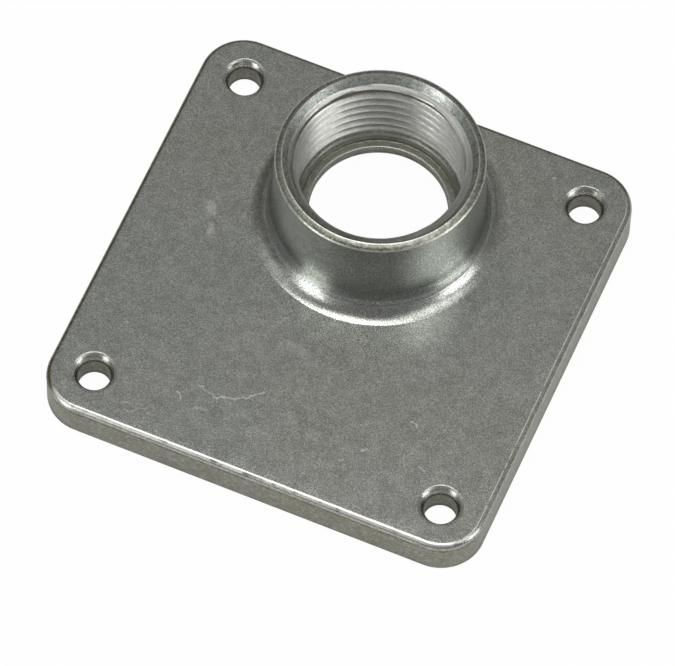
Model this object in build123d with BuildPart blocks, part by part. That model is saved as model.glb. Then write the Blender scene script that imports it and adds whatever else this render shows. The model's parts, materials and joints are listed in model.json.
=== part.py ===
from build123d import *
from math import cos, radians, sin, tan
import os

# Raintight conduit hub: one die-cast body, a square plate with a threaded collar.
# Sizes are millimetres. The origin is the centre of the mounting face, +Z runs out
# through the collar, and +Y points to the edge that the collar stands nearest to.

# Plate
plate_size = 83.5
plate_height = 7.6
corner_radius = 8.1
edge_round = 1.4
recess_depth = 2.1
lip_width = 3.0

# Mounting holes, on a square pattern, each the same way in from two edges
hole_inset = 8.4
hole_radius = 2.95
hole_mouth_radius = 3.85
hole_mouth_depth = 1.35

# Collar, outside, with its axis set in from the edge at +Y
hub_inset = 24.85
hub_height = 26.9
rim_radius = 18.8
rim_crest_radius = 17.5
rim_bevel_drop = 0.65
collar_draft = 1.9
cove_radius = 4.8
rim_edge_break = 0.25

# Collar, inside, from the mouth down to the throat
mouth_radius = 16.45
mouth_depth = 1.6
thread_minor_radius = 14.8
thread_length = 12.7
thread_run_in_angle = 30.0
relief_length = 1.8
throat_radius = 12.5
stop_ledge_width = 1.5
throat_length = 1.4
throat_flare_radius = 2.0
back_ledge_width = 2.0
throat_edge_break = 0.2

# How near two radii are when they count as the same
same_size = 0.01

# Heights and radii that follow from the sizes above
hole_spacing = plate_size - 2 * hole_inset
hub_offset = plate_size / 2 - hub_inset
recess_size = plate_size - 2 * lip_width
recess_corner_radius = corner_radius - lip_width
collar_top = hub_height - rim_bevel_drop
mouth_bottom = hub_height - mouth_depth
thread_top = mouth_bottom - (mouth_radius - thread_minor_radius) * tan(radians(thread_run_in_angle))
thread_bottom = thread_top - thread_length
relief_radius = throat_radius + stop_ledge_width
stop_ledge = thread_bottom - relief_length
throat_bottom = stop_ledge - throat_length
flare_bottom = throat_bottom - throat_flare_radius
flare_end_radius = throat_radius + throat_flare_radius
back_bore_radius = flare_end_radius + back_ledge_width

# The cove is an arc that touches both the drafted wall and the plate's top
draft_cos = cos(radians(collar_draft))
draft_sin = sin(radians(collar_draft))
cove_centre_height = plate_height + cove_radius
foot_radius = (cove_radius + rim_radius * draft_cos + (collar_top - cove_centre_height) * draft_sin) / draft_cos
cove_top = (foot_radius - cove_radius * draft_cos, cove_centre_height - cove_radius * draft_sin)
cove_middle_angle = radians((180 + collar_draft + 270) / 2)
cove_middle = (
    foot_radius + cove_radius * cos(cove_middle_angle),
    cove_centre_height + cove_radius * sin(cove_middle_angle),
)

# The plane that holds the collar's profiles, through its axis
collar_plane = Plane(origin=(0, hub_offset, 0), x_dir=(1, 0, 0), z_dir=(0, -1, 0))

with BuildPart() as hub_casting:
    # Plate with a rounded top edge
    with BuildSketch():
        RectangleRounded(plate_size, plate_size, corner_radius)
    extrude(amount=plate_height)
    fillet(hub_casting.faces().sort_by(Axis.Z)[-1].edges(), edge_round)

    # Collar with a bevelled rim and a cove that runs out into the plate
    with BuildSketch(collar_plane):
        with BuildLine():
            crest = Polyline((0, recess_depth), (0, hub_height), (rim_crest_radius, hub_height))
            bevel = Line(crest @ 1, (rim_radius, collar_top))
            wall = Line(bevel @ 1, cove_top)
            cove = ThreePointArc(wall @ 1, cove_middle, (foot_radius, plate_height))
            Polyline(cove @ 1, (foot_radius, recess_depth), (0, recess_depth))
        make_face()
    revolve(axis=Axis((0, hub_offset, 0), (0, 0, 1)))

    # Passage: mouth chamfer, thread at its minor radius, conduit stop, throat and flare
    with BuildSketch(collar_plane):
        with BuildLine():
            mouth = Polyline(
                (0, hub_height),
                (rim_crest_radius, hub_height),
                (mouth_radius, mouth_bottom),
                (thread_minor_radius, thread_top),
                (thread_minor_radius, thread_bottom),
                (relief_radius, thread_bottom),
                (relief_radius, stop_ledge),
                (throat_radius, stop_ledge),
                (throat_radius, throat_bottom),
            )
            flare = RadiusArc(mouth @ 1, (flare_end_radius, flare_bottom), throat_flare_radius)
            Polyline(
                flare @ 1,
                (back_bore_radius, flare_bottom),
                (back_bore_radius, 0),
                (0, 0),
                (0, hub_height),
            )
        make_face()
    revolve(axis=Axis((0, hub_offset, 0), (0, 0, 1)), mode=Mode.SUBTRACT)

    # Shallow recess in the underside, inside the lip that bears on the enclosure
    with BuildSketch():
        RectangleRounded(recess_size, recess_size, recess_corner_radius)
    extrude(amount=recess_depth, mode=Mode.SUBTRACT)

    # Mounting holes with conical mouths
    with BuildSketch(Plane.XY.offset(recess_depth)):
        with GridLocations(hole_spacing, hole_spacing, 2, 2):
            Circle(hole_radius)
    extrude(amount=plate_height - recess_depth, mode=Mode.SUBTRACT)
    with Locations((0, 0, plate_height - hole_mouth_depth / 2)):
        with GridLocations(hole_spacing, hole_spacing, 2, 2):
            Cone(hole_radius, hole_mouth_radius, hole_mouth_depth, mode=Mode.SUBTRACT)

    # Small breaks on the rim's outer edge and on the throat's upper edge
    circles = hub_casting.edges().filter_by(GeomType.CIRCLE)
    fillet(circles.filter_by(lambda edge: abs(edge.radius - rim_radius) < same_size), rim_edge_break)
    circles = hub_casting.edges().filter_by(GeomType.CIRCLE)
    throat_ends = circles.filter_by(lambda edge: abs(edge.radius - throat_radius) < same_size)
    fillet(throat_ends.group_by(Axis.Z)[-1], throat_edge_break)

hub_casting.part.label = "hub_casting"

os.makedirs("parts", exist_ok=True)
export_step(hub_casting.part, "parts/hub_casting.step")
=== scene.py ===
"""Raintight conduit hub: its cast body with a cut conduit thread, and a plain studio.

Lengths are metres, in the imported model's own frame. +Z runs out through the collar.
"""
import json
from math import cos, pi, radians, sin, sqrt, tan

import bmesh
import bpy
from bpy.props import FloatProperty, FloatVectorProperty, PointerProperty
from mathutils import Matrix, Vector, noise
from mathutils.geometry import delaunay_2d_cdt


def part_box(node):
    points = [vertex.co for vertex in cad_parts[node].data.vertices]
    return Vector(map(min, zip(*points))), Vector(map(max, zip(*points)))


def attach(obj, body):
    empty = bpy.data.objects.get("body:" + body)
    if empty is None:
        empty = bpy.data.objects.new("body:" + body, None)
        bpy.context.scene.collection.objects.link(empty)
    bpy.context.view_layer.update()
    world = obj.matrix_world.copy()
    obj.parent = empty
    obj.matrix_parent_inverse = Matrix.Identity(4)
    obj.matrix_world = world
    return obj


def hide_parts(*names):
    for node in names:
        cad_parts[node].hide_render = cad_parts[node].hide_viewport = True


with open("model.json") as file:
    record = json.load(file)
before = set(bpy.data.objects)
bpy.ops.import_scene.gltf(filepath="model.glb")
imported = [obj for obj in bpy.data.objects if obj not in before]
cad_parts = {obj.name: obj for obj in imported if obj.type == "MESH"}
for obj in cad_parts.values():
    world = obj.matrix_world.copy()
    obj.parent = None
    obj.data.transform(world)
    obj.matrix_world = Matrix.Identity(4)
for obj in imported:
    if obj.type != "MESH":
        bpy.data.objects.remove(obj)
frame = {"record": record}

bl_info = {
    "name": "Raintight conduit hub",
    "version": (1, 0, 0),
    "blender": (4, 5, 0),
    "location": "View3D > Sidebar > Hub",
    "description": "Builds a die-cast raintight conduit hub with its thread, surface and studio",
    "category": "Add Mesh",
}

MM = 0.001
BODY = "root"
CASTING = "hub_casting"
IMAGE_WIDTH = 675

# The casting's box and its mounts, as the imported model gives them
LOW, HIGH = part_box(CASTING)
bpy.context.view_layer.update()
MOUNTS = {mount["name"]: mount for mount in frame["record"]["mounts"]}
THREAD = MOUNTS["conduit_thread"]
HOLES = MOUNTS["mounting_holes"]
THREAD_RADIUS = THREAD["dims"]["r_mm"] * MM
THREAD_TOP = THREAD["pos_m"][2] + THREAD["dims"]["length_mm"] * MM / 2
THREAD_BOTTOM = THREAD["pos_m"][2] - THREAD["dims"]["length_mm"] * MM / 2
HOLE_RADIUS = HOLES["dims"]["hole_r_mm"] * MM

# How finely the curves are divided
COLLAR_COLUMNS = 320
HOLE_COLUMNS = 48
CORNER_STEPS = 14
SIDE_STEPS = 36
ROUND_STEPS = 10

# Distance between the points inside the two flat faces
TOP_SPACING = 1.7 * MM
UNDER_SPACING = 3.2 * MM

# Points this near to each other are one point, and edges this bent look sharp
SAME_PLACE = 0.0005 * MM
SHARP_BEND = radians(50)

# Rounding of the holes' upper edge
HOLE_EDGE = 0.16 * MM

# Directions in X and Y: where the mouth's chamfer and the cove's foot are darkened, and where painted shade
# covers the arris's rounding on the left and back
DARKENED_MOUTH = Vector((0.37, -0.93))
DARKENED_COVE = Vector((-1.0, 0.05))
SHADED_LEFT = Vector((-0.93, 0.37))
SHADED_BACK = Vector((0.2, 0.98))

# Soft boxes: name, azimuth, elevation, width and height, all in degrees
LAMP_DISTANCE = 0.8
LAMPS = (
    ("overhead", -50.0, 85.0, 27.0, 27.0),
    ("left", -32.0, 20.0, 20.0, 40.0),
    ("left_side", -72.0, 48.0, 26.0, 26.0),
    ("right", 90.0, 23.0, 26.0, 28.0),
    ("right_high", 85.0, 60.0, 26.0, 26.0),
)

# Scratches and rubs on the plate's face: both ends and width in millimetres, and strength
MARKS = (
    ((-15.0, -28.3), (-11.8, -29.4), 0.20, 1.0),
    ((-11.8, -29.4), (-8.8, -28.4), 0.25, 1.8),
    ((-8.8, -28.4), (-6.7, -27.5), 0.25, 1.8),
    ((-6.7, -27.5), (-4.0, -24.9), 0.22, 1.5),
    ((-18.7, -31.1), (-17.1, -31.9), 0.28, 0.8),
    ((-26.1, -36.7), (-25.2, -36.6), 0.20, 0.8),
    ((-27.0, -39.4), (-20.6, -35.5), 0.14, 0.6),
    ((-14.1, -32.7), (-11.8, -32.3), 0.35, 0.4),
    ((16.1, -29.0), (16.9, -28.3), 0.20, 0.9),
    ((21.9, -20.0), (23.4, -20.5), 0.22, 0.8),
    ((26.8, -27.5), (28.0, -27.9), 0.20, 1.2),
    ((13.2, -32.2), (14.2, -31.6), 0.17, 0.7),
    ((-32.4, -22.0), (-32.1, -21.8), 0.25, 0.8),
    ((5.6, -35.7), (5.8, -35.5), 0.25, 0.7),
    ((26.0, 36.0), (26.3, 36.3), 0.35, 0.6),
    ((-28.2, 6.6), (-27.4, 4.9), 1.20, 0.45),
    ((-26.5, 2.6), (-26.0, 1.2), 0.90, 0.45),
    ((-3.6, -14.3), (-0.6, -14.9), 1.30, 0.20),
)

# Tangent of a thread flank's tilt from the vertical
FLANK_SLOPE = tan(radians(60))

# Finishes, in the order of the mesh's material slots
CAST, RIM, CUT, THROAT = range(4)


def length(name, millimetres, description):
    """A size in metres whose default is given in millimetres."""
    return FloatProperty(
        name=name, description=description, default=millimetres * MM, min=0.0,
        unit="LENGTH", subtype="DISTANCE", precision=5,
    )


def colour(name, value, description):
    """A linear colour without alpha."""
    return FloatVectorProperty(
        name=name, description=description, default=value, size=3, min=0.0, max=1.0, subtype="COLOR",
    )


def factor(name, value, description, highest=1.0):
    """A plain share or strength."""
    return FloatProperty(name=name, description=description, default=value, min=0.0, max=highest)


def angle(name, degrees, description):
    """An angle whose default is given in degrees."""
    return FloatProperty(
        name=name, description=description, default=radians(degrees), unit="ROTATION", subtype="ANGLE",
    )


class HubSizes(bpy.types.PropertyGroup):
    """Sizes of the casting that its box and its mounts don't give."""

    corner_radius: length("Corner radius", 8.1, "Radius of the plate's four corners")
    plate_height: length("Plate height", 7.6, "Height of the plate's edge")
    edge_round: length("Edge round", 1.1, "Rounding of the plate's upper edge")
    recess_depth: length("Recess depth", 2.1, "Depth of the recess in the underside")
    lip_width: length("Lip width", 3.0, "Width of the lip round the recess")
    hole_mouth_radius: length("Hole mouth radius", 3.95, "Radius of each hole's conical mouth at the top")
    hole_mouth_depth: length("Hole mouth depth", 1.35, "Depth of each hole's conical mouth")
    rim_radius: length("Rim radius", 18.8, "Outer radius of the rim")
    crest_radius: length("Crest radius", 17.5, "Radius of the rim's highest edge")
    bevel_drop: length("Bevel drop", 0.65, "Fall of the rim's outer bevel")
    rim_break: length("Rim break", 0.25, "Rounding of the rim's outer edge")
    draft: angle("Draft", 1.9, "Draft of the collar's outer wall")
    cove_radius: length("Cove radius", 4.9, "Radius of the cove at the collar's foot")
    cove_end: angle("Cove end", 12.0, "Slope at which the cove meets the plate")
    mouth_radius: length("Mouth radius", 16.45, "Radius at the bottom of the mouth's chamfer")
    mouth_depth: length("Mouth depth", 1.6, "Depth of the mouth's chamfer")
    thread_pitch: length("Thread pitch", 25.4 / 11.5, "Distance from one thread crest to the next")
    thread_depth: length("Thread depth", 0.88, "Depth of the thread's groove")
    thread_crest: length("Thread crest", 0.16, "Width of the flat on the thread's crest")
    thread_drop: length("Thread drop", 0.73, "How far the first crest is below the mouth's chamfer at +X")
    stop_ledge: length("Stop ledge", 1.5, "Width of the ledge that the conduit stops on")
    relief_length: length("Relief length", 1.8, "Length of the plain bore below the thread")
    throat_radius: length("Throat radius", 12.5, "Radius of the throat")
    throat_length: length("Throat length", 1.4, "Length of the straight throat")
    throat_flare: length("Throat flare", 2.0, "Radius of the throat's lower flare")
    back_ledge: length("Back ledge", 2.0, "Width of the ledge under the flare")
    throat_break: length("Throat break", 0.2, "Rounding of the throat's upper edge")
    sharp_break: length("Sharp edge break", 0.12, "Rounding of edges that look sharp")
    foot_break: length("Foot break", 0.08, "Width of the turn where the cove meets the plate")


class HubFinish(bpy.types.PropertyGroup):
    """Colours and surface texture of the casting."""

    cast_light: colour("Cast light", (0.50, 0.515, 0.48), "Lighter tone of the as-cast skin")
    cast_dark: colour("Cast dark", (0.46, 0.475, 0.435), "Darker tone of the as-cast skin")
    cast_warm: colour("Cast warm", (0.48, 0.475, 0.415), "Warm tint in patches of the skin")
    # A cool tint painted on the raised collar in place of the bluish light on it
    cool_light_tint: colour("Cast cool", (0.50, 0.528, 0.50), "Cooler, evener tone of the collar's wall")
    worn_and_sheen: colour("Worn", (0.85, 0.84, 0.80), "Metal where an arris is rubbed bright")
    # Near-white metal of rubbed arrises and scratches, also used as painted highlight on arrises and thread
    # crests
    bore: colour("Bore", (0.59, 0.595, 0.555), "Cut metal of the thread")
    # Dark brown for real grime and for painted shade in seams, grooves, holes, the throat and corners
    stain_and_shade: colour("Stain", (0.15, 0.132, 0.062), "Dark residue in seams and corners")
    rim_lift: factor("Rim lift", 1.3, "How much lighter the rim's bevels are than the rest", 2.0)
    cast_roughness: factor("Cast roughness", 0.25, "Roughness of the as-cast skin")
    cut_roughness: factor("Cut roughness", 0.35, "Roughness of the cut thread")
    worn_roughness: factor("Worn roughness", 0.36, "Roughness where an arris is rubbed bright")
    mark_strength: factor("Mark strength", 1.6, "Brightness of the scratches and rubs", 3.0)
    grain_size: length("Grain size", 0.26, "Size of the as-cast grain")
    grain_depth: length("Grain depth", 0.012, "Depth of the as-cast grain")


class HubStage(bpy.types.PropertyGroup):
    """Camera, lamps, room light and floor."""

    azimuth: angle("View azimuth", 21.666, "Turn of the camera about +Z, from looking along +Y")
    elevation: angle("View elevation", 60.563, "Height of the camera above the floor, as an angle")
    roll: angle("View roll", 1.822, "Turn of the camera about its own line of sight")
    distance: length("View distance", 1346.2, "Distance from the camera to the plane of the origin")
    aim_right: FloatProperty(name="Aim right", default=-0.54 * MM, unit="LENGTH",
                             description="Where the camera aims, to its right of the origin")
    aim_up: FloatProperty(name="Aim up", default=-4.26 * MM, unit="LENGTH",
                          description="Where the camera aims, above the origin in the picture")
    focal_pixels: FloatProperty(name="Focal length in pixels", default=7506.9, min=1.0,
                                description="Focal length, in pixels of a picture 675 wide")
    floor: colour("Floor", (0.86, 0.86, 0.86), "Colour of the floor")
    floor_white: factor("Floor white", 0.975, "How far the floor's own white replaces its shading")
    floor_mirrored: factor("Floor mirrored", 0.15, "The same, where metal mirrors the floor")
    world_low: factor("Low world", 0.16, "Strength of the light from all round, near the floor", 5.0)
    world_high: factor("High world", 0.325, "Strength of the light from all round, overhead", 5.0)
    dim_azimuth: angle("Dim azimuth", 22.0, "Direction of the room's dimmer patch, at the front")
    dim_elevation: angle("Dim elevation", 60.0, "Height of the room's dimmer patch, as an angle")
    dim_share: factor("Dim share", 0.6, "Brightness of the dimmer patch, as a share of the rest")
    overhead: factor("Overhead lamp", 3.3, "Brightness of the soft box above the part", 20.0)
    left: factor("Left lamp", 2.6, "Brightness of the tall soft box at the front left", 20.0)
    left_side: factor("Left side lamp", 0.35, "Brightness of the soft box at the left", 20.0)
    right: factor("Right lamp", 2.8, "Brightness of the soft box at the right", 20.0)
    right_high: factor("High right lamp", 1.5, "Brightness of the soft box high at the right", 20.0)


def smooth(low, high, value):
    """Rises smoothly from 0 at low to 1 at high."""
    share = min(max((value - low) / (high - low), 0.0), 1.0)
    return share * share * (3 - 2 * share)


def grain(point, size, seed):
    """Even noise between about -1 and 1, with bumps of the given size."""
    return noise.noise(Vector(point) / size + Vector((seed, 0.37 * seed, -seed)))


class Skin:
    """The points and faces of one mesh, with each point's wear and soil and each face's finish."""

    def __init__(self):
        self.points = []
        self.wear = []
        self.soil = []
        self.faces = []
        self.finishes = []

    def add(self, points, wear=0.0, soil=0.0):
        """Adds points and gives their numbers."""
        first = len(self.points)
        self.points.extend(Vector(point) for point in points)
        self.wear.extend([wear] * len(points))
        self.soil.extend([soil] * len(points))
        return list(range(first, len(self.points)))

    def face(self, corners, finish):
        self.faces.append(corners)
        self.finishes.append(finish)

    def bridge(self, ring_a, ring_b, finish):
        """Joins two closed rings of as many points with quads."""
        count = len(ring_a)
        for index in range(count):
            following = (index + 1) % count
            corners = (ring_a[index], ring_a[following], ring_b[following], ring_b[index])
            self.face(corners, finish)

    def join(self, rings, finish):
        """Joins each closed ring to the next."""
        for ring_a, ring_b in zip(rings, rings[1:]):
            self.bridge(ring_a, ring_b, finish)

    def fill(self, rings, spare, inside, finish):
        """Triangulates a flat face between rings, through spare points, where inside says so."""
        numbers = [number for ring in rings for number in ring]
        places = [self.points[number].to_2d() for number in numbers]
        height = self.points[numbers[0]].z
        edges = []
        first = 0
        for ring in rings:
            count = len(ring)
            edges.extend((first + step, first + (step + 1) % count) for step in range(count))
            first += count
        numbers += self.add([(place.x, place.y, height) for place in spare])
        places += spare
        flat, _, triangles, origins, _, _ = delaunay_2d_cdt(places, edges, [], 0, 1e-9)
        for triangle in triangles:
            middle = sum((flat[corner] for corner in triangle), Vector((0, 0))) / 3
            if inside(middle):
                self.face([numbers[origins[corner][0]] for corner in triangle], finish)


def circle(centre, radius, height, count):
    """Points of a level circle, anticlockwise from +X."""
    turns = [2 * pi * step / count for step in range(count)]
    return [(centre.x + radius * cos(turn), centre.y + radius * sin(turn), height) for turn in turns]


def outline(half, corner, height):
    """Points of a level square with round corners, as many whatever its size."""
    corner = max(corner, MM / 100)
    straight = half - corner
    points = []
    for quarter in range(4):
        turn = quarter * pi / 2
        for step in range(CORNER_STEPS):
            bend = turn + step / CORNER_STEPS * pi / 2
            middle = Vector((straight, straight, 0))
            middle.rotate(Matrix.Rotation(turn, 3, "Z"))
            points.append((middle.x + corner * cos(bend), middle.y + corner * sin(bend), height))
        for step in range(SIDE_STEPS):
            along = straight - 2 * straight * step / SIDE_STEPS
            place = Vector((along, half, 0))
            place.rotate(Matrix.Rotation(turn, 3, "Z"))
            points.append((place.x, place.y, height))
    return points


def is_in_outline(place, half, corner):
    """Whether a place lies in a square with round corners, and clear of its edge."""
    half -= MM / 1000
    x = abs(place.x)
    y = abs(place.y)
    straight = half - corner
    if x > straight and y > straight:
        return sqrt((x - straight) ** 2 + (y - straight) ** 2) < corner
    return x < half and y < half


def spare_places(half, corner, gap, rounds):
    """A grid of places in the outline, a gap clear of its edge and of the rounds in it."""
    count = int(2 * half / gap)
    places = []
    for row in range(count):
        for column in range(count):
            shift = gap / 2 if row % 2 else 0.0
            place = Vector((column * gap - half + shift, row * gap - half))
            clear = all((place - middle).length > radius + 0.6 * gap for middle, radius in rounds)
            if clear and is_in_outline(place, half - 0.6 * gap, corner):
                places.append(place)
    return places


def fill_face(skin, rings, half, corner, gap, rounds):
    """Fills a flat face of the plate, between its outline and the rounds in it."""

    def is_in_face(place):
        clear = all((place - middle).length > radius for middle, radius in rounds)
        return clear and is_in_outline(place, half, corner)

    skin.fill(rings, spare_places(half, corner, gap, rounds), is_in_face, CAST)


def build_edge(skin, sizes):
    """The plate's edge, as rings from the recess round the lip and up to the top face."""
    small = sizes.sharp_break
    bend = sizes.plate_height - sizes.edge_round
    side_inset = 0.03 * MM
    side_top = bend - 0.6 * MM
    seam_inset = 0.05 * MM
    seam_bottom = bend - 0.45 * MM
    seam_top = bend - 0.12 * MM

    # Inset, height, wear and soil of each ring, up to where the rounding starts; the side is darkened, and
    # the parting seam gets grime and painted shade
    profile = [
        (sizes.lip_width, sizes.recess_depth, 0.0, 0.3),
        (sizes.lip_width, small, 0.0, 0.0),
        (sizes.lip_width - small, 0.0, 0.0, 0.0),
        (side_inset + small, 0.0, 0.0, 0.3),
        (side_inset + 0.3 * small, 0.3 * small, 0.0, 0.5),
        (side_inset, small, 0.0, 0.6),
        (side_inset, bend / 2, 0.0, 0.6),
        (side_inset, side_top, 0.0, 0.6),
        (seam_inset, seam_bottom, 0.0, 0.95),
        (seam_inset, seam_top, 0.0, 0.95),
        (0.01 * MM, bend, 0.0, 0.6),
    ]
    for share in (0.06, 0.14, 0.22, 0.3, 0.38, 0.44, 0.5, 0.56, 0.63, 0.7, 0.78, 0.84, 0.9, 0.95, 1.0):
        tilt = pi / 2 * share
        inset = sizes.edge_round * (1 - cos(tilt))
        # The rounding's middle gets rubbed metal and painted highlight, which fills the band between its
        # reflections
        wear = smooth(0.4, 0.52, share) * (1 - smooth(0.84, 0.95, share))
        soil = 0.3 if share < 0.1 else 0.0
        profile.append((inset, bend + sizes.edge_round * sin(tilt), wear, soil))
    rings = []
    for inset, height, wear, soil in profile:
        ring = outline(HIGH.x - inset, sizes.corner_radius - inset, height)
        rings.append(skin.add(ring, wear, soil))
    skin.join(rings, CAST)
    return rings


def build_holes(skin, sizes, centres):
    """The mounting holes, and their rings in the underside and in the top face."""
    top = sizes.plate_height
    small = sizes.sharp_break
    mouth_radius = sizes.hole_mouth_radius
    mouth_bottom = top - sizes.hole_mouth_depth

    # Radius, height, wear and soil, from the underside up to the mouth; the hole's wall is darkened by grime
    # and painted shade
    profile = [
        (HOLE_RADIUS + small, sizes.recess_depth, 0.0, 0.6),
        (HOLE_RADIUS, sizes.recess_depth + small, 0.0, 0.6),
        (HOLE_RADIUS, mouth_bottom - 2.2 * MM, 0.0, 0.7),
        (HOLE_RADIUS, mouth_bottom - 0.9 * MM, 0.0, 0.6),
        (HOLE_RADIUS, mouth_bottom - HOLE_EDGE / 2, 0.0, 0.4),
        (HOLE_RADIUS + HOLE_EDGE / 4, mouth_bottom + HOLE_EDGE / 4, 0.1, 0.1),
    ]
    for share in (0.15, 0.4, 0.65, 0.85):
        bulge = 0.35 * HOLE_EDGE * sin(pi * share)
        radius = HOLE_RADIUS + (mouth_radius - HOLE_RADIUS) * share - bulge
        height = mouth_bottom + sizes.hole_mouth_depth * share + 0.6 * bulge
        profile.append((radius, height, 0.25, 0.0))
    profile.append((mouth_radius - 0.35 * HOLE_EDGE, top - HOLE_EDGE, 0.35, 0.0))
    profile.append((mouth_radius + 0.1 * HOLE_EDGE, top - 0.3 * HOLE_EDGE, 0.25, 0.0))
    profile.append((mouth_radius + HOLE_EDGE, top, 0.0, 0.1))
    profile.append((mouth_radius + 2 * HOLE_EDGE, top, 0.0, 0.0))

    lower_rings = []
    upper_rings = []
    for centre in centres:
        rings = []
        for radius, height, wear, soil in profile:
            rings.append(skin.add(circle(centre, radius, height, HOLE_COLUMNS), wear, soil))
        skin.join(rings, CAST)
        lower_rings.append(rings[0])
        upper_rings.append(rings[-1])
    return lower_rings, upper_rings


def build_plate(skin, sizes, axis, joint_radius, back_radius):
    """The plate: its edge, the mounting holes, the top face and the recessed underside."""
    reach = HOLES["dims"]["spacing_x_mm"] * MM / 2
    centres = [Vector((x, y)) for x in (-reach, reach) for y in (-reach, reach)]
    edge_rings = build_edge(skin, sizes)
    lower_rings, upper_rings = build_holes(skin, sizes, centres)

    # Top face, between the edge, the hole mouths and the collar's foot
    inset = sizes.edge_round
    rounds = [(centre, sizes.hole_mouth_radius + 2 * HOLE_EDGE) for centre in centres]
    rounds.append((axis.to_2d(), joint_radius))
    joint_ring = skin.add(circle(axis, joint_radius, sizes.plate_height, COLLAR_COLUMNS))
    rings = [edge_rings[-1]] + upper_rings + [joint_ring]
    fill_face(skin, rings, HIGH.x - inset, sizes.corner_radius - inset, TOP_SPACING, rounds)

    # Underside, inside the lip
    inset = sizes.lip_width
    rounds = [(centre, HOLE_RADIUS + sizes.sharp_break) for centre in centres]
    rounds.append((axis.to_2d(), back_radius))
    back_ring = skin.add(circle(axis, back_radius, sizes.recess_depth, COLLAR_COLUMNS))
    rings = [edge_rings[0]] + lower_rings + [back_ring]
    fill_face(skin, rings, HIGH.x - inset, sizes.corner_radius - inset, UNDER_SPACING, rounds)


def cove_profile(sizes, centre, foot_radius, wall_top):
    """Radius, height, wear and soil up the cove and the drafted wall, to below the rim."""
    seam = radians(50)
    seam_groove = 0.014 * MM
    first = sizes.cove_end
    last = pi / 2 - sizes.draft
    shares = (0, 0.02, 0.1, 0.2, 0.32, 0.44, 0.56, 0.68, 0.8, 0.9, 0.96)
    tilts = [first + share * (seam - first) for share in shares]
    tilts += [seam - 0.02, seam - 0.008, seam + 0.008, seam + 0.02]
    tilts += [seam + share * (last - seam) for share in (0.08, 0.2, 0.35, 0.5, 0.65, 0.8, 0.9, 1.0)]
    profile = [(foot_radius + sizes.foot_break, sizes.plate_height, 0.0, 0.0)]
    for tilt in tilts:
        on_seam = abs(tilt - seam) < 0.01
        reach = sizes.cove_radius - (seam_groove if on_seam else 0.0)
        wear = 0.3 if on_seam else 0.0
        profile.append((centre[0] - reach * sin(tilt), centre[1] - reach * cos(tilt), wear, 0.0))
    last_radius, last_height = profile[-1][:2]
    for share in (0.33, 0.66, 1.0):
        height = last_height + (wall_top - last_height) * share
        profile.append((last_radius - (height - last_height) * tan(sizes.draft), height, 0.0, 0.0))
    return profile


def thread_shape(sizes, fall):
    """Depth of the thread's groove at a height of fall below a crest's upper edge."""
    pitch = sizes.thread_pitch
    depth = sizes.thread_depth
    bend = 1.35
    fall = fall % pitch
    below_crest = (fall - sizes.thread_crest) * FLANK_SLOPE
    share = min((pitch - fall) * FLANK_SLOPE / (bend * depth), 1.0)
    above_crest = depth * (1 - (1 - share) ** bend)
    return min(max(below_crest, 0.0), above_crest, depth)


def build_thread(skin, sizes, axis):
    """The cut thread, as one helical sheet whose ends are clamped to two level rings."""
    minor = THREAD_RADIUS
    top_radius = sizes.mouth_radius
    top_height = HIGH.z - sizes.mouth_depth
    bottom_height = THREAD_BOTTOM
    pitch = sizes.thread_pitch
    crest_share = sizes.thread_crest / pitch
    deep_share = sizes.thread_depth / FLANK_SLOPE / pitch
    phases = [0.0, crest_share]
    phases += [crest_share + deep_share * step / 3 for step in (1, 2, 3)]
    phases += [1 - deep_share * step for step in (2.5, 2.0, 1.6, 1.3, 1.0, 0.75, 0.5, 0.3, 0.15, 0.05)]
    rows_each = len(phases)
    turns = int((top_height - bottom_height) / pitch) + 3
    rows = range(-rows_each, turns * rows_each)

    def bore_radius(height):
        """Radius before the thread is cut: a cone at the top, then the minor radius."""
        share = (height - THREAD_TOP) / (top_height - THREAD_TOP)
        return minor + max(share, 0.0) * (top_radius - minor)

    def place(column, row):
        """A point of the sheet, clamped to the two end rings."""
        whole, part = divmod(row, rows_each)
        turn = column / COLLAR_COLUMNS
        fall = pitch * (whole + phases[part] - turn)
        clamped = min(max(top_height - sizes.thread_drop - fall, bottom_height), top_height)
        depth = thread_shape(sizes, top_height - sizes.thread_drop - clamped + pitch * turn)
        depth *= smooth(bottom_height, bottom_height + 0.35 * pitch, clamped)
        cut = minor + depth
        plain = bore_radius(clamped)
        softness = 0.04 * MM
        radius = (cut + plain + sqrt((cut - plain) ** 2 + softness ** 2)) / 2
        ends = smooth(bottom_height, bottom_height + softness, clamped)
        ends *= 1 - smooth(top_height - softness, top_height, clamped)
        radius = plain + (radius - plain) * ends
        angle_here = 2 * pi * turn
        point = Vector((axis.x + radius * cos(angle_here), axis.y + radius * sin(angle_here), clamped))
        return point, 0.1 * smooth(minor, minor + 0.5 * MM, plain) if plain > cut else 0.0

    numbers = {}
    for column in range(COLLAR_COLUMNS):
        for row in rows:
            point, wear = place(column, row)
            part = row % rows_each
            # Crest rows get rubbed metal and painted highlight, and rows at the groove's root get painted
            # shade
            if part in (0, rows_each - 1):
                wear = 0.9
            soil = 0.5 if 4 <= part <= 6 else 0.0
            numbers[column, row] = skin.add([point], wear, soil)[0]
    for column in range(COLLAR_COLUMNS):
        for row in rows[:-1]:
            if column + 1 < COLLAR_COLUMNS:
                right = (numbers[column + 1, row], numbers[column + 1, row + 1])
            elif row - rows_each >= rows[0]:
                right = (numbers[0, row - rows_each], numbers[0, row + 1 - rows_each])
            else:
                continue
            corners = (numbers[column, row], right[0], right[1], numbers[column, row + 1])
            skin.face(corners, CUT)


def lathe(skin, axis, profile, finish):
    """Turns rows of radius, height, wear and soil round the collar's axis."""
    rings = []
    for radius, height, wear, soil in profile:
        rings.append(skin.add(circle(axis, radius, height, COLLAR_COLUMNS), wear, soil))
    skin.join(rings, finish)


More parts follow.
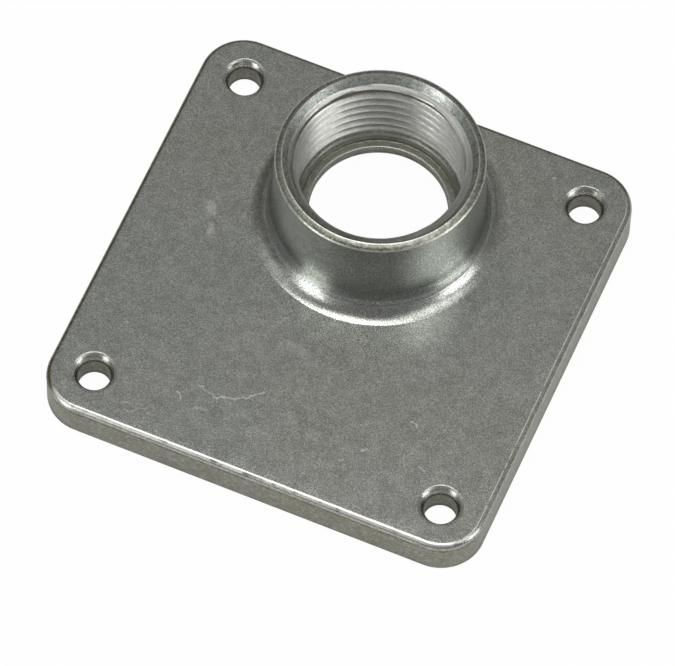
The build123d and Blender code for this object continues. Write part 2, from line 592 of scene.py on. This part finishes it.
def build_rim(skin, sizes, axis, wall_end, wall_top):
    """The rim: its outer edge, bevel and crest, and the chamfer of the mouth."""
    top = HIGH.z
    rim = sizes.rim_radius
    crest = sizes.crest_radius
    edge = sizes.rim_break
    mouth_bottom = top - sizes.mouth_depth
    outer = Vector((rim, wall_top))
    over = outer + Vector((crest - rim, sizes.bevel_drop)).normalized() * edge
    peak = Vector((crest, top))
    chamfer = Vector((sizes.mouth_radius, mouth_bottom)) - peak
    profile = [
        wall_end,
        (rim - 0.25 * edge, wall_top + 0.05 * edge, 0.35, 0.0),
        (over.x, over.y, 0.1, 0.4),
    ]
    for share, soil in ((0.3, 0.9), (0.5, 0.75), (0.7, 0.65), (0.85, 0.55)):
        step = outer.lerp(peak, share)
        bulge = 0.05 * MM * sin(pi * share)
        profile.append((step.x + 0.3 * bulge, step.y + bulge, 0.0, soil))
    profile.append((crest + 0.10 * MM, top - 0.025 * MM, 0.6, 0.0))
    profile.append((crest, top, 1.0, 0.0))
    for share in (0.05, 0.2, 0.4, 0.6, 0.8, 0.93):
        step = peak + chamfer * share
        wear = 0.9 if share < 0.1 else 0.0
        soil = 0.0 if share < 0.9 else 0.3
        profile.append((step.x, step.y, wear, soil))
    profile.append((sizes.mouth_radius, mouth_bottom, 0.0, 0.6))
    lathe(skin, axis, profile, RIM)


def build_relief(skin, sizes, axis, relief, stop):
    """The plain bore between the thread and the conduit stop, with painted shade in its corner at the stop.
    """
    small = sizes.sharp_break
    relief_top = THREAD_BOTTOM - (THREAD_RADIUS - relief)
    profile = [
        (THREAD_RADIUS, THREAD_BOTTOM, 0.0, 0.0),
        ((THREAD_RADIUS + relief) / 2, (THREAD_BOTTOM + relief_top) / 2, 0.0, 0.0),
        (relief + 0.3 * small, relief_top + 0.3 * small, 0.0, 0.1),
        (relief, relief_top - small, 0.0, 0.1),
        (relief, stop + 2 * small, 0.0, 0.3),
        (relief, stop + small, 0.0, 0.7),
        (relief - 0.3 * small, stop + 0.3 * small, 0.0, 0.9),
        (relief - small, stop, 0.0, 0.8),
    ]
    lathe(skin, axis, profile, CUT)


def build_throat(skin, sizes, axis, relief, stop):
    """The conduit stop, the throat with its flare, and the bore at the back, darkened by grime and painted
    shade, with a bright line of rubbed metal and painted highlight on the throat's upper edge.
    """
    small = sizes.sharp_break
    throat = sizes.throat_radius
    rounding = sizes.throat_break
    profile = [(relief - small, stop, 0.0, 0.8)]
    for share, soil in ((0.2, 0.6), (0.5, 0.45), (0.8, 0.45)):
        profile.append((relief + (throat + rounding - relief) * share, stop, 0.0, soil))
    for step in range(5):
        tilt = pi / 2 * step / 4
        radius = throat + rounding * (1 - sin(tilt))
        wear = 0.6 if step == 1 else 0.1
        profile.append((radius, stop - rounding * (1 - cos(tilt)), wear, 0.1))
    throat_end = stop - sizes.throat_length
    profile.append((throat, stop - 2 * rounding, 0.0, 0.5))
    profile.append((throat, (stop + throat_end) / 2, 0.0, 0.5))
    for step in range(ROUND_STEPS + 1):
        tilt = pi / 2 * step / ROUND_STEPS
        radius = throat + sizes.throat_flare * (1 - cos(tilt))
        profile.append((radius, throat_end - sizes.throat_flare * sin(tilt), 0.0, 0.8))
    ledge = throat_end - sizes.throat_flare
    back = throat + sizes.throat_flare + sizes.back_ledge
    profile.append((back - small, ledge, 0.0, 0.5))
    profile.append((back, ledge - small, 0.0, 0.5))
    profile.append((back, sizes.recess_depth + small, 0.0, 0.3))
    profile.append((back + small, sizes.recess_depth, 0.0, 0.2))
    lathe(skin, axis, profile, THROAT)


def build_collar(skin, sizes, axis, centre, foot_radius, wall_top):
    """The collar: cove, wall and rim outside, then thread, stop, throat and back bore."""
    edge = sizes.rim_break
    outside = cove_profile(sizes, centre, foot_radius, wall_top - edge)
    outside.append((sizes.rim_radius - 0.02 * edge, wall_top - 0.5 * edge, 0.1, 0.0))
    lathe(skin, axis, outside, CAST)
    build_rim(skin, sizes, axis, outside[-1], wall_top)
    build_thread(skin, sizes, axis)
    relief = sizes.throat_radius + sizes.stop_ledge
    stop = THREAD_BOTTOM - sizes.relief_length
    build_relief(skin, sizes, axis, relief, stop)
    build_throat(skin, sizes, axis, relief, stop)


def settle_rim(skin, sizes, number, outwards):
    """Makes the rim's crest uneven and darkens the near side of the mouth's chamfer."""
    point = skin.points[number]
    near_rim = smooth(HIGH.z - 1.2 * MM, HIGH.z - 0.1 * MM, point.z)
    if near_rim > 0:
        burr = 0.035 * MM * abs(grain(point, 0.9 * MM, 3.1)) + 0.03 * MM * abs(grain(point, 4 * MM, 7.7))
        point.z -= burr * near_rim
    if HIGH.z - sizes.mouth_depth < point.z and outwards.length < sizes.crest_radius - 0.06 * MM:
        toward_darker = outwards.normalized().dot(DARKENED_MOUTH)
        skin.soil[number] = max(skin.soil[number], 0.65 * smooth(0.2, 0.9, toward_darker))


def settle_cove(skin, sizes, number, outwards, foot_radius):
    """Darkens the lowest part of the cove, on its left."""
    above = skin.points[number].z - sizes.plate_height
    if MM / 1000 < above < 2 * MM and sizes.rim_radius < outwards.length < foot_radius + sizes.foot_break:
        toward_darker = outwards.normalized().dot(DARKENED_COVE)
        low = smooth(0.0, 0.3 * MM, above) * (1 - smooth(0.6 * MM, 1.7 * MM, above))
        skin.soil[number] = max(skin.soil[number], 0.5 * low * smooth(0.55, 1.0, toward_darker))


def settle_plate(skin, sizes, number, from_axis, foot_radius):
    """Makes the top face uneven, paints shade on two far stretches of its rounding and a thin highlight line
    along the right one.
    """
    point = skin.points[number]
    top = sizes.plate_height

    # Outwards from the square that the corners' centres make, and in from the edge's rounding
    straight = HIGH.x - sizes.corner_radius
    x_out = max(abs(point.x) - straight, 0.0) * (1 if point.x > 0 else -1)
    y_out = max(abs(point.y) - straight, 0.0) * (1 if point.y > 0 else -1)
    facing = Vector((x_out, y_out))
    inwards = sizes.corner_radius - sizes.edge_round - facing.length
    if abs(point.z - top) < MM / 1000 and from_axis > foot_radius:
        away = smooth(foot_radius + sizes.foot_break, foot_radius + 6 * MM, from_axis)
        away *= smooth(0.0, 4 * MM, inwards)
        point.z -= 0.012 * MM * (1 + grain(point, 16 * MM, 1.3)) * away
    if inwards < 0 and top - sizes.edge_round < point.z < top:
        facing.normalize()
        # Painted shade on the left and back rounding, which mirrors dark, and a thin painted highlight line
        # on the right
        shaded = smooth(0.2, 0.5, facing.dot(SHADED_LEFT))
        shaded = max(shaded, smooth(0.6, 0.9, facing.dot(SHADED_BACK)))
        share = (point.z - top + sizes.edge_round) / sizes.edge_round
        right = smooth(0.6, 0.95, facing.x)
        line = right * smooth(0.97, 0.987, share) * (1 - smooth(0.9975, 0.9999, share))
        painted_shade = 0.95 * shaded * (1 - smooth(0.9, 0.997, share))
        skin.wear[number] = max(skin.wear[number] * (1 - right), line) * (1 - shaded)
        skin.soil[number] = max(skin.soil[number] * (1 - shaded), painted_shade)


def settle(skin, sizes, axis, foot_radius):
    """Adds slight unevenness, darkens the mouth's near side and the cove's left foot, and paints shade and a
    highlight line on the plate's arris.
    """
    for number, point in enumerate(skin.points):
        outwards = (point - axis).to_2d()
        settle_rim(skin, sizes, number, outwards)
        settle_cove(skin, sizes, number, outwards, foot_radius)
        settle_plate(skin, sizes, number, outwards.length, foot_radius)


def casting_mesh(sizes):
    """The whole casting as one closed mesh."""
    axis = Vector((THREAD["pos_m"][0], THREAD["pos_m"][1], 0.0))
    wall_top = HIGH.z - sizes.bevel_drop
    centre_height = sizes.plate_height + sizes.cove_radius * cos(sizes.cove_end)
    leaning = sizes.rim_radius * cos(sizes.draft) + (wall_top - centre_height) * sin(sizes.draft)
    centre = ((sizes.cove_radius + leaning) / cos(sizes.draft), centre_height)
    foot_radius = centre[0] - sizes.cove_radius * sin(sizes.cove_end)
    back_radius = sizes.throat_radius + sizes.throat_flare + sizes.back_ledge + sizes.sharp_break

    skin = Skin()
    build_plate(skin, sizes, axis, foot_radius + sizes.foot_break, back_radius)
    build_collar(skin, sizes, axis, centre, foot_radius, wall_top)
    settle(skin, sizes, axis, foot_radius)

    mesh = bpy.data.meshes.new("cast_hub")
    mesh.from_pydata(skin.points, [], skin.faces)
    mesh.attributes.new("wear", "FLOAT", "POINT").data.foreach_set("value", skin.wear)
    mesh.attributes.new("soil", "FLOAT", "POINT").data.foreach_set("value", skin.soil)
    mesh.polygons.foreach_set("material_index", skin.finishes)
    builder = bmesh.new()
    builder.from_mesh(mesh)
    bmesh.ops.remove_doubles(builder, verts=builder.verts, dist=SAME_PLACE)
    bmesh.ops.dissolve_degenerate(builder, edges=builder.edges, dist=SAME_PLACE)
    bmesh.ops.recalc_face_normals(builder, faces=builder.faces)
    builder.to_mesh(mesh)
    builder.free()
    for polygon in mesh.polygons:
        polygon.use_smooth = True
    mesh.set_sharp_from_angle(angle=SHARP_BEND)
    return mesh


class Nodes:
    """A short way to write the nodes of a material or of the room's light."""

    def __init__(self, tree, kind_of_place):
        self.tree = tree
        self.place = self.node("ShaderNodeTexCoord").outputs[kind_of_place]

    def node(self, kind, **settings):
        made = self.tree.nodes.new(kind)
        for name, value in settings.items():
            setattr(made, name, value)
        return made

    def link(self, source, socket):
        self.tree.links.new(source, socket)

    def feed(self, value, socket):
        """Links an output to a socket, or sets the socket's own value."""
        if isinstance(value, bpy.types.NodeSocket):
            self.link(value, socket)
        else:
            socket.default_value = value

    def noise(self, size, detail=2.0, place=None, rough=0.5):
        made = self.node("ShaderNodeTexNoise")
        made.inputs["Scale"].default_value = 1.0 / size
        made.inputs["Detail"].default_value = detail
        made.inputs["Roughness"].default_value = rough
        self.link(place or self.place, made.inputs["Vector"])
        return made.outputs["Fac"]

    def math(self, operation, first, second=0.0, clamp=False):
        made = self.node("ShaderNodeMath", operation=operation, use_clamp=clamp)
        self.feed(first, made.inputs[0])
        self.feed(second, made.inputs[1])
        return made.outputs[0]

    def vector(self, operation, first, second=None):
        """One step of vector arithmetic, and its number where that is what it gives."""
        made = self.node("ShaderNodeVectorMath", operation=operation)
        self.feed(first, made.inputs[0])
        if second is not None:
            self.feed(second, made.inputs[1])
        return made.outputs["Value" if operation in ("DOT_PRODUCT", "LENGTH") else "Vector"]

    def ramp(self, value, low, high, to_low=0.0, to_high=1.0):
        made = self.node("ShaderNodeMapRange", interpolation_type="SMOOTHSTEP")
        self.feed(value, made.inputs["Value"])
        made.inputs["From Min"].default_value = low
        made.inputs["From Max"].default_value = high
        made.inputs["To Min"].default_value = to_low
        made.inputs["To Max"].default_value = to_high
        return made.outputs["Result"]

    def mix(self, share, first, second, blend="MIX"):
        made = self.node("ShaderNodeMix", data_type="RGBA", blend_type=blend)
        self.feed(share, made.inputs[0])
        self.feed(self.opaque(first), made.inputs[6])
        self.feed(self.opaque(second), made.inputs[7])
        return made.outputs[2]

    @staticmethod
    def opaque(value):
        return value if isinstance(value, bpy.types.NodeSocket) else (*value, 1.0)

    def attribute(self, name):
        return self.node("ShaderNodeAttribute", attribute_name=name).outputs["Fac"]

    def bump(self, height, depth, previous=None):
        made = self.node("ShaderNodeBump")
        made.inputs["Strength"].default_value = 1.0
        made.inputs["Distance"].default_value = depth
        self.link(height, made.inputs["Height"])
        if previous is not None:
            self.link(previous, made.inputs["Normal"])
        return made.outputs["Normal"]


class Shader(Nodes):
    """One material, with places taken on the object."""

    def __init__(self, name):
        self.material = bpy.data.materials.new(name)
        self.material.use_nodes = True
        super().__init__(self.material.node_tree, "Object")
        self.surface = self.tree.nodes["Principled BSDF"]

    def finish(self, base, roughness, normal):
        self.surface.inputs["Metallic"].default_value = 1.0
        self.link(base, self.surface.inputs["Base Color"])
        self.link(roughness, self.surface.inputs["Roughness"])
        self.link(normal, self.surface.inputs["Normal"])
        return self.material


def grey(shader, value):
    """A grey colour from one number."""
    made = shader.node("ShaderNodeCombineColor")
    for socket in made.inputs[:3]:
        shader.link(value, socket)
    return made.outputs[0]


def cast_tone(shader, sizes, finish):
    """The as-cast skin's colour: faint clouds and a crisp speckle, evener on the collar, with a cool tint
    painted there for its bluish light.
    """
    cloud_size = 30 * MM
    warm_size = 36 * MM
    mottle_size = 1.7 * MM
    cool_start = sizes.plate_height + 0.5 * MM
    cool_end = cool_start + 2.5 * MM
    parts = shader.node("ShaderNodeSeparateXYZ")
    shader.link(shader.place, parts.inputs[0])
    height = parts.outputs["Z"]
    broad = shader.ramp(shader.noise(cloud_size, 2.0), 0.3, 0.7)
    tone = shader.mix(broad, finish.cast_dark, finish.cast_light)
    warm = shader.ramp(shader.noise(warm_size, 2.0), 0.4, 0.7, 0.0, 0.6)
    tone = shader.mix(warm, tone, finish.cast_warm)
    tone = shader.mix(shader.ramp(height, cool_start, cool_end), tone, finish.cool_light_tint)
    mottle = shader.ramp(shader.noise(mottle_size, 4.0, rough=0.65), 0.32, 0.68, -0.10, 0.10)
    mottle = shader.math("MULTIPLY", mottle, shader.ramp(height, cool_start, cool_end, 1.0, 0.3))
    mottle = shader.math("ADD", mottle, 1.0)
    fine = shader.ramp(shader.noise(finish.grain_size, 2.0, rough=0.8), 0.28, 0.72, 0.56, 1.44)
    return shader.mix(1.0, tone, grey(shader, shader.math("MULTIPLY", mottle, fine)), "MULTIPLY")


def add_soil_shade_wear_sheen(shader, finish, tone, roughness, patch):
    """Puts grime with painted shade, and then rubbed metal with painted highlight, in patches of a size,
    over a tone, where the mesh says so.
    """
    # Darkens where the soil mask says so: grime, and painted shade in seams, grooves, holes and corners
    patchiness = shader.ramp(shader.noise(0.7 * MM, 3.0), 0.3, 0.6, 0.6, 1.0)
    tone = shader.mix(shader.math("MULTIPLY", shader.attribute("soil"), patchiness), tone, finish.stain_and_shade)
    # Near-white where the wear mask says so: rubbed metal, and painted highlight on arrises and crests
    rubbed = shader.ramp(shader.noise(patch, 4.0, rough=0.6), 0.32, 0.5)
    rubbed = shader.math("MULTIPLY", shader.attribute("wear"), rubbed)
    tone = shader.mix(rubbed, tone, finish.worn_and_sheen)
    made = shader.node("ShaderNodeMix", data_type="FLOAT")
    shader.link(rubbed, made.inputs[0])
    shader.link(roughness, made.inputs[2])
    made.inputs[3].default_value = finish.worn_roughness
    return tone, made.outputs[0]


def add_marks(shader, sizes, finish, tone):
    """Puts the plate's scratches, rubs and specks over a tone."""
    bend_size = 1.2 * MM
    bend_reach = 1.0 * MM
    speck_size = 0.55 * MM
    height = sizes.plate_height
    wander = shader.node("ShaderNodeTexNoise")
    wander.inputs["Scale"].default_value = 1.0 / bend_size
    shader.link(shader.place, wander.inputs["Vector"])
    bend = shader.node("ShaderNodeVectorMath", operation="MULTIPLY_ADD")
    shader.link(wander.outputs["Color"], bend.inputs[0])
    bend.inputs[1].default_value = (2 * bend_reach, 2 * bend_reach, 0.0)
    bend.inputs[2].default_value = (-bend_reach, -bend_reach, 0.0)
    moved = shader.vector("ADD", shader.place, bend.outputs[0])
    total = shader.ramp(shader.noise(speck_size, 1.0), 0.66, 0.78, 0.0, 0.16)
    for first, last, width, strength in MARKS:
        start = Vector((first[0] * MM, first[1] * MM, height))
        along = Vector((last[0] * MM, last[1] * MM, height)) - start
        from_start = shader.vector("SUBTRACT", moved, start)
        share = shader.vector("DOT_PRODUCT", from_start, along / along.length_squared)
        share = shader.math("MAXIMUM", shader.math("MINIMUM", share, 1.0), 0.0)
        nearest = shader.node("ShaderNodeVectorMath", operation="SCALE")
        nearest.inputs[0].default_value = along
        shader.link(share, nearest.inputs["Scale"])
        away = shader.vector("LENGTH", shader.vector("SUBTRACT", from_start, nearest.outputs[0]))
        bright = strength * finish.mark_strength
        total = shader.math("MAXIMUM", total, shader.ramp(away, 0.3 * width * MM, width * MM, bright, 0.0))
    broken = shader.ramp(shader.noise(0.35 * MM, 2.0), 0.36, 0.56, 0.4, 1.0)
    return shader.mix(shader.math("MULTIPLY", total, broken), tone, finish.worn_and_sheen)


def cast_skin(sizes, finish):
    """As-cast skin of the plate and the collar's outside, bright where its arrises are rubbed and where
    highlight is painted on them, and darker where shade is painted.
    """
    shader = Shader("cast_skin")
    tone = add_marks(shader, sizes, finish, cast_tone(shader, sizes, finish))
    low = finish.cast_roughness - 0.02
    high = finish.cast_roughness + 0.02
    roughness = shader.ramp(shader.noise(3 * MM, 3.0), 0.3, 0.7, low, high)
    tone, roughness = add_soil_shade_wear_sheen(shader, finish, tone, roughness, 3.2 * MM)
    normal = shader.bump(shader.noise(finish.grain_size, 2.0, rough=0.7), finish.grain_depth)
    normal = shader.bump(shader.noise(1.6 * MM, 2.0), 0.5 * finish.grain_depth, normal)
    return shader.finish(tone, roughness, normal)


def rim_skin(sizes, finish):
    """The rim's rougher as-cast bevels, with a bright crest of rubbed metal and painted highlight."""
    shader = Shader("rim_skin")
    tone = shader.mix(1.0, cast_tone(shader, sizes, finish), 3 * (finish.rim_lift,), "MULTIPLY")
    roughness = shader.ramp(shader.noise(0.9 * MM, 3.0), 0.3, 0.7, 0.24, 0.42)
    tone, roughness = add_soil_shade_wear_sheen(shader, finish, tone, roughness, 0.8 * MM)
    normal = shader.bump(shader.noise(0.45 * MM, 3.0, rough=0.65), 3.5 * finish.grain_depth)
    return shader.finish(tone, roughness, normal)


def cut_skin(finish):
    """Cut metal of the thread, with fine tool marks that run round the bore, rubbed crests with painted
    highlight and painted shade in the groove roots.
    """
    shader = Shader("cut_thread")
    squeeze = shader.node("ShaderNodeMapping")
    squeeze.inputs["Scale"].default_value = (0.05, 0.05, 1.0)
    shader.link(shader.place, squeeze.inputs["Vector"])
    marks = shader.noise(0.12 * MM, 2.0, squeeze.outputs["Vector"])
    spread = shader.ramp(shader.noise(2.0 * MM, 3.0), 0.3, 0.7, 0.92, 1.08)
    fine = shader.ramp(shader.noise(finish.grain_size, 2.0, rough=0.8), 0.28, 0.72, 0.84, 1.16)
    tone = shader.mix(1.0, finish.bore, grey(shader, shader.math("MULTIPLY", spread, fine)), "MULTIPLY")
    low = finish.cut_roughness - 0.04
    high = finish.cut_roughness + 0.04
    roughness = shader.ramp(shader.noise(0.8 * MM, 3.0), 0.3, 0.7, low, high)
    tone, roughness = add_soil_shade_wear_sheen(shader, finish, tone, roughness, 2.5 * MM)
    normal = shader.bump(marks, 0.25 * finish.grain_depth)
    normal = shader.bump(shader.noise(0.4 * MM, 2.0), 0.5 * finish.grain_depth, normal)
    return shader.finish(tone, roughness, normal)


def throat_skin(sizes, finish):
    """The conduit stop and the throat, as cast and rougher than the outside."""
    shader = Shader("throat_skin")
    tone = cast_tone(shader, sizes, finish)
    roughness = shader.ramp(shader.noise(1.5 * MM, 3.0), 0.3, 0.7, 0.34, 0.5)
    tone, roughness = add_soil_shade_wear_sheen(shader, finish, tone, roughness, 0.8 * MM)
    normal = shader.bump(shader.noise(0.5 * MM, 3.0), 2.5 * finish.grain_depth)
    return shader.finish(tone, roughness, normal)


class HUB_OT_casting(bpy.types.Operator):
    """Builds the die-cast body with its cut thread and its surface"""

    bl_idname = "hub.casting"
    bl_label = "Casting"

    def execute(self, context):
        sizes = context.scene.hub_sizes
        finish = context.scene.hub_finish
        casting = bpy.data.objects.new("cast_hub", casting_mesh(sizes))
        context.scene.collection.objects.link(casting)
        casting.data.materials.append(cast_skin(sizes, finish))
        casting.data.materials.append(rim_skin(sizes, finish))
        casting.data.materials.append(cut_skin(finish))
        casting.data.materials.append(throat_skin(sizes, finish))
        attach(casting, BODY)
        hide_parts(CASTING)
        return {"FINISHED"}


def direction(azimuth, elevation):
    """Unit direction of an azimuth about +Z, from -Y, and an elevation."""
    return Vector((sin(azimuth) * cos(elevation), -cos(azimuth) * cos(elevation), sin(elevation)))


def view_axes(stage):
    """The camera's right, up and backward directions."""
    back = direction(stage.azimuth, stage.elevation)
    level = Vector((cos(stage.azimuth), sin(stage.azimuth), 0.0))
    upright = back.cross(level)
    right = level * cos(stage.roll) + upright * sin(stage.roll)
    up = upright * cos(stage.roll) - level * sin(stage.roll)
    return right, up, back


def add_camera(scene, stage):
    """A long lens at the photograph's viewing angle."""
    right, up, back = view_axes(stage)
    data = bpy.data.cameras.new("view")
    camera = bpy.data.objects.new("view", data)
    scene.collection.objects.link(camera)
    place = right * stage.aim_right + up * stage.aim_up + back * stage.distance
    turned = Matrix((right, up, back)).transposed().to_4x4()
    camera.matrix_world = Matrix.Translation(place) @ turned
    data.sensor_width = 36.0
    data.lens = stage.focal_pixels / IMAGE_WIDTH * data.sensor_width
    data.clip_start = 0.05
    data.clip_end = 20.0
    scene.camera = camera


def add_lamp(scene, name, azimuth, elevation, width, height, brightness):
    """A soft box that faces the part, with its direction and its spread in degrees."""
    data = bpy.data.lights.new(name, "AREA")
    data.shape = "RECTANGLE"
    data.size = 2 * LAMP_DISTANCE * tan(radians(width / 2))
    data.size_y = 2 * LAMP_DISTANCE * tan(radians(height / 2))
    data.energy = pi * data.size * data.size_y * brightness
    lamp = bpy.data.objects.new(name, data)
    scene.collection.objects.link(lamp)
    away = direction(radians(azimuth), radians(elevation))
    lamp.location = away * LAMP_DISTANCE
    lamp.rotation_euler = away.to_track_quat("Z", "Y").to_euler()


def floor_material(stage):
    """A pale floor that keeps a soft shadow, shows as white and, in reflections, adds a share of white to
    its own shading.
    """
    shader = Shader("floor")
    shader.surface.inputs["Base Color"].default_value = (*stage.floor, 1.0)
    shader.surface.inputs["Roughness"].default_value = 0.9
    glow = shader.node("ShaderNodeEmission")
    path = shader.node("ShaderNodeLightPath")
    seen = shader.math("ADD", path.outputs["Is Camera Ray"], path.outputs["Is Transmission Ray"], clamp=True)
    seen = shader.math("MULTIPLY", seen, stage.floor_white)
    mirrored = shader.math("MULTIPLY", path.outputs["Is Glossy Ray"], stage.floor_mirrored)
    share = shader.math("MAXIMUM", seen, mirrored)
    mixed = shader.node("ShaderNodeMixShader")
    shader.link(share, mixed.inputs[0])
    shader.link(shader.surface.outputs[0], mixed.inputs[1])
    shader.link(glow.outputs[0], mixed.inputs[2])
    output = shader.tree.nodes["Material Output"]
    shader.link(mixed.outputs[0], output.inputs["Surface"])
    return shader.material


def room_light(stage):
    """Light from all round, brightest overhead and dimmer near the floor and in a patch at the front."""
    full_height = 0.8
    patch_rim = 0.70
    patch_middle = 0.98
    world = bpy.data.worlds.new("room_light")
    world.use_nodes = True
    nodes = Nodes(world.node_tree, "Generated")
    parts = nodes.node("ShaderNodeSeparateXYZ")
    nodes.link(nodes.place, parts.inputs[0])
    rise = nodes.ramp(parts.outputs["Z"], 0.0, full_height, stage.world_low, stage.world_high)
    towards = direction(stage.dim_azimuth, stage.dim_elevation)
    patch = nodes.vector("DOT_PRODUCT", nodes.place, towards)
    dimmed = nodes.ramp(patch, patch_rim, patch_middle, 1.0, stage.dim_share)
    background = nodes.tree.nodes["Background"]
    background.inputs["Color"].default_value = (1.0, 1.0, 1.0, 1.0)
    nodes.link(nodes.math("MULTIPLY", rise, dimmed), background.inputs["Strength"])
    return world


class HUB_OT_stage(bpy.types.Operator):
    """Sets up the camera, the lamps, the room's light and the floor"""

    bl_idname = "hub.stage"
    bl_label = "Stage"

    def execute(self, context):
        scene = context.scene
        stage = scene.hub_stage
        add_camera(scene, stage)
        for name, azimuth, elevation, width, height in LAMPS:
            add_lamp(scene, name, azimuth, elevation, width, height, getattr(stage, name))
        scene.world = room_light(stage)

        mesh = bpy.data.meshes.new("floor")
        reach = 1.5
        corners = [(-reach, -reach, 0), (reach, -reach, 0), (reach, reach, 0), (-reach, reach, 0)]
        mesh.from_pydata(corners, [], [(0, 1, 2, 3)])
        floor = bpy.data.objects.new("floor", mesh)
        floor.location.z = LOW.z - 0.02 * MM
        scene.collection.objects.link(floor)
        mesh.materials.append(floor_material(stage))
        scene.view_settings.view_transform = "Standard"
        return {"FINISHED"}


class HUB_PT_panel(bpy.types.Panel):
    """Sizes, finish and stage of the hub"""

    bl_idname = "HUB_PT_panel"
    bl_label = "Raintight conduit hub"
    bl_space_type = "VIEW_3D"
    bl_region_type = "UI"
    bl_category = "Hub"

    def draw(self, context):
        layout = self.layout
        layout.operator(HUB_OT_casting.bl_idname)
        layout.operator(HUB_OT_stage.bl_idname)
        for group in (context.scene.hub_sizes, context.scene.hub_finish, context.scene.hub_stage):
            box = layout.box()
            for name in group.__annotations__:
                box.prop(group, name)


CLASSES = (HubSizes, HubFinish, HubStage, HUB_OT_casting, HUB_OT_stage, HUB_PT_panel)
GROUPS = {"hub_sizes": HubSizes, "hub_finish": HubFinish, "hub_stage": HubStage}


def register():
    for group in CLASSES:
        bpy.utils.register_class(group)
    for name, group in GROUPS.items():
        setattr(bpy.types.Scene, name, PointerProperty(type=group))


def unregister():
    for name in GROUPS:
        delattr(bpy.types.Scene, name)
    for group in reversed(CLASSES):
        bpy.utils.unregister_class(group)


def main():
    register()
    bpy.ops.hub.casting()
    bpy.ops.hub.stage()


if __name__ == "__main__":
    main()
